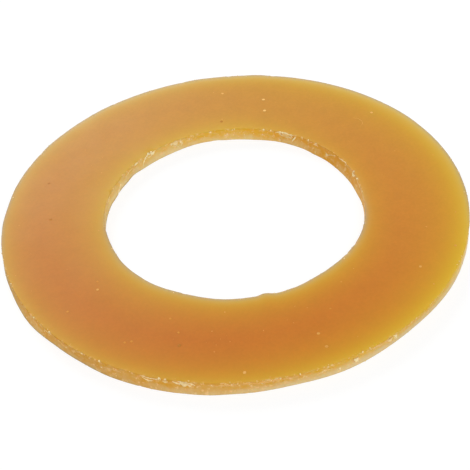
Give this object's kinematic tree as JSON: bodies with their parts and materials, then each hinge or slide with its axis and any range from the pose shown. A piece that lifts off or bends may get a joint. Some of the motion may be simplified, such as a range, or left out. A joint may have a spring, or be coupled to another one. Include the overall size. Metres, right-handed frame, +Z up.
{
  "type": "flush valve seal",
  "caption": "Flat ring washer of translucent amber rubber with a wide bore and hand-trimmed edges, for sealing a flush valve against its seat.",
  "frame": {"origin": "middle of the lower face, on the ring's axis", "axes": "+Z up along the ring's axis, out of the face that the punch entered; +X and +Y across the ring, with the front of the picture at -Y"},
  "size_m": [0.063, 0.063, 0.002],
  "materials": {
    "amber_silicone": "translucent amber silicone, satin faces, paler frosted and partly torn cut edges"
  },
  "bodies": {
    "root": {"seal_ring": "amber_silicone"}
  },
  "joints": []
}
